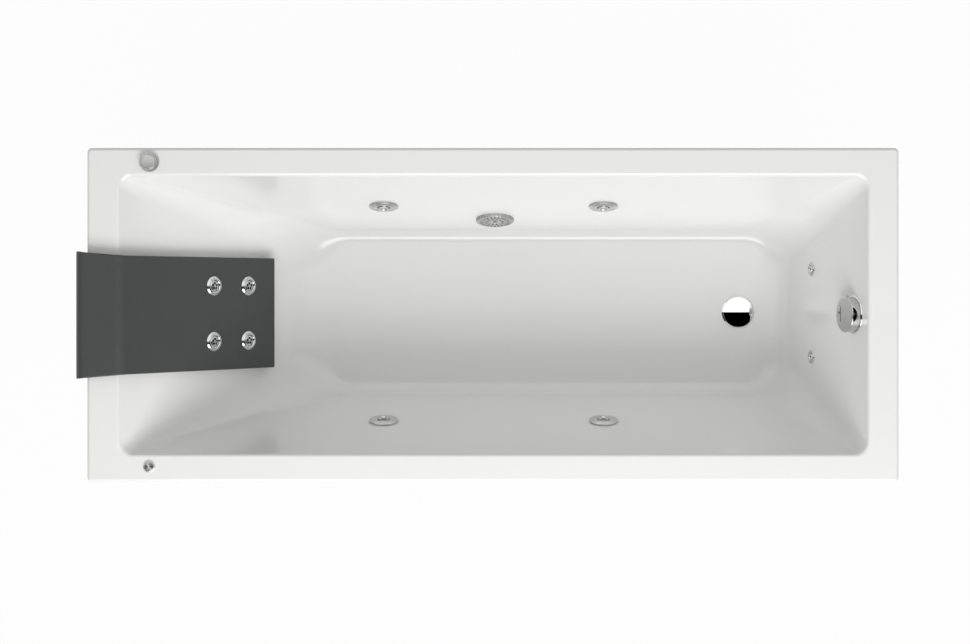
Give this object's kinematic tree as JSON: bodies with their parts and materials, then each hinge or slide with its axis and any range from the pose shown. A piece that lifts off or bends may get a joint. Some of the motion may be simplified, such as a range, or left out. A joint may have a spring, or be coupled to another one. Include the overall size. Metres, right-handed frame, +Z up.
{
  "type": "jetted bathtub",
  "caption": "Rectangular drop-in jetted bath with a sloped backrest, moulded back pad, wall jets, suction grille, pop-up waste, pump and levelling frame.",
  "frame": {"origin": "centre of the whole bath on the floor it stands on", "axes": "+X towards the foot end with the waste and overflow, +Y towards the long side with the suction grille and the air control, +Z up"},
  "size_m": [1.7166, 0.7, 0.5933],
  "materials": {
    "acrylic": "white cast acrylic, glossy",
    "moulded_foam": "anthracite moulded foam with a fine satin skin",
    "chrome_trim": "polished chrome plate",
    "fitting_plastic": "off-white moulded plastic",
    "pipe_plastic": "white rigid pipe, satin",
    "clear_hose": "milky flexible hose",
    "seal_rubber": "black rubber",
    "frame_steel": "galvanised steel",
    "foot_plastic": "black moulded plastic with a zinc stud",
    "board_timber": "sealed chipboard and planed batten",
    "motor_paint": "dark grey powder coat",
    "shaft_steel": "turned steel",
    "cable_sheath": "black cable sheath"
  },
  "bodies": {
    "tub": {"air_control_body": "chrome_trim", "air_pipes": "clear_hose", "back_pad": "moulded_foam", "base_board": "board_timber", "bath_shell": "acrylic", "button_housing": "chrome_trim", "cross_bars": "frame_steel", "drain_flange": "chrome_trim", "fan_cover": "fitting_plastic", "fitting_gaskets": "seal_rubber", "fitting_lock_nuts": "fitting_plastic", "foot_lock_nuts": "frame_steel", "jet_bodies": "fitting_plastic", "jet_trim_rings": "chrome_trim", "long_rails": "frame_steel", "overflow_elbow": "fitting_plastic", "overflow_pipe": "pipe_plastic", "overflow_plate": "chrome_trim", "pop_up_cable": "cable_sheath", "pump_board": "board_timber", "pump_motor": "motor_paint", "pump_volute": "fitting_plastic", "rim_batten_left": "board_timber", "rim_batten_right": "board_timber", "suction_body": "fitting_plastic", "suction_grille": "chrome_trim", "suction_pipe": "pipe_plastic", "suction_screw": "chrome_trim", "switch_tube": "clear_hose", "terminal_box": "fitting_plastic", "uprights": "frame_steel", "waste_trap": "fitting_plastic", "water_pipes": "pipe_plastic"},
    "waste_plug": {"drain_plug": "chrome_trim", "plug_seal": "seal_rubber"},
    "overflow_control": {"overflow_knob": "chrome_trim"},
    "air_regulator": {"air_knob": "chrome_trim"},
    "start_switch": {"start_button": "chrome_trim"},
    "pump_rotor": {"pump_shaft": "shaft_steel", "pump_impeller": "fitting_plastic", "pump_fan": "fitting_plastic"},
    "side_jet_turn_1": {"side_jet_ring_1": "chrome_trim"},
    "side_jet_eye_1": {"side_jet_nozzle_1": "chrome_trim"},
    "side_jet_turn_2": {"side_jet_ring_2": "chrome_trim"},
    "side_jet_eye_2": {"side_jet_nozzle_2": "chrome_trim"},
    "side_jet_turn_3": {"side_jet_ring_3": "chrome_trim"},
    "side_jet_eye_3": {"side_jet_nozzle_3": "chrome_trim"},
    "side_jet_turn_4": {"side_jet_ring_4": "chrome_trim"},
    "side_jet_eye_4": {"side_jet_nozzle_4": "chrome_trim"},
    "pad_jet_spinner_1": {"pad_jet_rotor_1": "chrome_trim"},
    "pad_jet_spinner_2": {"pad_jet_rotor_2": "chrome_trim"},
    "pad_jet_spinner_3": {"pad_jet_rotor_3": "chrome_trim"},
    "pad_jet_spinner_4": {"pad_jet_rotor_4": "chrome_trim"},
    "foot_jet_eye_1": {"foot_jet_nozzle_1": "chrome_trim"},
    "foot_jet_eye_2": {"foot_jet_nozzle_2": "chrome_trim"},
    "foot_1": {"levelling_foot_1": "foot_plastic"},
    "foot_2": {"levelling_foot_2": "foot_plastic"},
    "foot_3": {"levelling_foot_3": "foot_plastic"},
    "foot_4": {"levelling_foot_4": "foot_plastic"}
  },
  "joints": [
    {"name": "overflow_turn", "type": "hinge", "parent": "tub", "child": "overflow_control", "pos_m": [0.77704, 0, 0.504], "axis": [-0.9658, 0, 0.2591], "range_deg": [0, 90]},
    {"name": "plug_lift", "type": "slide", "parent": "tub", "child": "waste_plug", "axis": [0, 0, 1], "range_m": [0, 0.012]},
    {"name": "air_turn", "type": "hinge", "parent": "tub", "child": "air_regulator", "pos_m": [-0.71075, 0.32, 0.57], "axis": [0, 0, 1], "range_deg": [0, 270]},
    {"name": "button_press", "type": "slide", "parent": "tub", "child": "start_switch", "axis": [0, 0, -1], "range_m": [0, 0.0035], "stiffness_N_per_m": 600, "springref_m": -0.001},
    {"name": "side_jet_flow_1", "type": "hinge", "parent": "tub", "child": "side_jet_turn_1", "pos_m": [-0.23325, -0.2385, 0.365], "axis": [0, 0.9676, 0.2525], "range_deg": [0, 90]},
    {"name": "side_jet_aim_1", "type": "hinge", "parent": "side_jet_turn_1", "child": "side_jet_eye_1", "pos_m": [-0.23325, -0.23386, 0.36621], "axis": [1, 0, 0], "range_deg": [-15, 15]},
    {"name": "side_jet_flow_2", "type": "hinge", "parent": "tub", "child": "side_jet_turn_2", "pos_m": [0.25325, -0.2385, 0.365], "axis": [0, 0.9676, 0.2525], "range_deg": [0, 90]},
    {"name": "side_jet_aim_2", "type": "hinge", "parent": "side_jet_turn_2", "child": "side_jet_eye_2", "pos_m": [0.25325, -0.23386, 0.36621], "axis": [1, 0, 0], "range_deg": [-15, 15]},
    {"name": "side_jet_flow_3", "type": "hinge", "parent": "tub", "child": "side_jet_turn_3", "pos_m": [-0.23325, 0.2385, 0.365], "axis": [0, -0.9676, 0.2525], "range_deg": [0, 90]},
    {"name": "side_jet_aim_3", "type": "hinge", "parent": "side_jet_turn_3", "child": "side_jet_eye_3", "pos_m": [-0.23325, 0.23386, 0.36621], "axis": [1, 0, 0], "range_deg": [-15, 15]},
    {"name": "side_jet_flow_4", "type": "hinge", "parent": "tub", "child": "side_jet_turn_4", "pos_m": [0.25325, 0.2385, 0.365], "axis": [0, -0.9676, 0.2525], "range_deg": [0, 90]},
    {"name": "side_jet_aim_4", "type": "hinge", "parent": "side_jet_turn_4", "child": "side_jet_eye_4", "pos_m": [0.25325, 0.23386, 0.36621], "axis": [1, 0, 0], "range_deg": [-15, 15]},
    {"name": "pad_jet_spin_1", "type": "hinge", "parent": "tub", "child": "pad_jet_spinner_1", "pos_m": [-0.62017, -0.061, 0.38506], "axis": [0.7642, 0, 0.6449], "continuous": true},
    {"name": "pad_jet_spin_2", "type": "hinge", "parent": "tub", "child": "pad_jet_spinner_2", "pos_m": [-0.62017, 0.061, 0.38506], "axis": [0.7642, 0, 0.6449], "continuous": true},
    {"name": "pad_jet_spin_3", "type": "hinge", "parent": "tub", "child": "pad_jet_spinner_3", "pos_m": [-0.55568, -0.061, 0.30863], "axis": [0.7642, 0, 0.6449], "continuous": true},
    {"name": "pad_jet_spin_4", "type": "hinge", "parent": "tub", "child": "pad_jet_spinner_4", "pos_m": [-0.55568, 0.061, 0.30863], "axis": [0.7642, 0, 0.6449], "continuous": true},
    {"name": "foot_jet_aim_1", "type": "hinge", "parent": "tub", "child": "foot_jet_eye_1", "pos_m": [0.72499, -0.0985, 0.31], "axis": [0, 1, 0], "range_deg": [-12, 12]},
    {"name": "foot_jet_aim_2", "type": "hinge", "parent": "tub", "child": "foot_jet_eye_2", "pos_m": [0.72499, 0.0985, 0.31], "axis": [0, 1, 0], "range_deg": [-12, 12]},
    {"name": "pump_spin", "type": "hinge", "parent": "tub", "child": "pump_rotor", "pos_m": [-0.68175, 0, 0.223], "axis": [0, 1, 0], "continuous": true},
    {"name": "foot_level_1", "type": "slide", "parent": "tub", "child": "foot_1", "axis": [0, 0, -1], "range_m": [0, 0.03]},
    {"name": "foot_level_2", "type": "slide", "parent": "tub", "child": "foot_2", "axis": [0, 0, -1], "range_m": [0, 0.03]},
    {"name": "foot_level_3", "type": "slide", "parent": "tub", "child": "foot_3", "axis": [0, 0, -1], "range_m": [0, 0.03]},
    {"name": "foot_level_4", "type": "slide", "parent": "tub", "child": "foot_4", "axis": [0, 0, -1], "range_m": [0, 0.03]}
  ],
  "couplings": [
    {"joint": "plug_lift", "follows": "overflow_turn", "m_per_rad": 0.0076394}
  ]
}
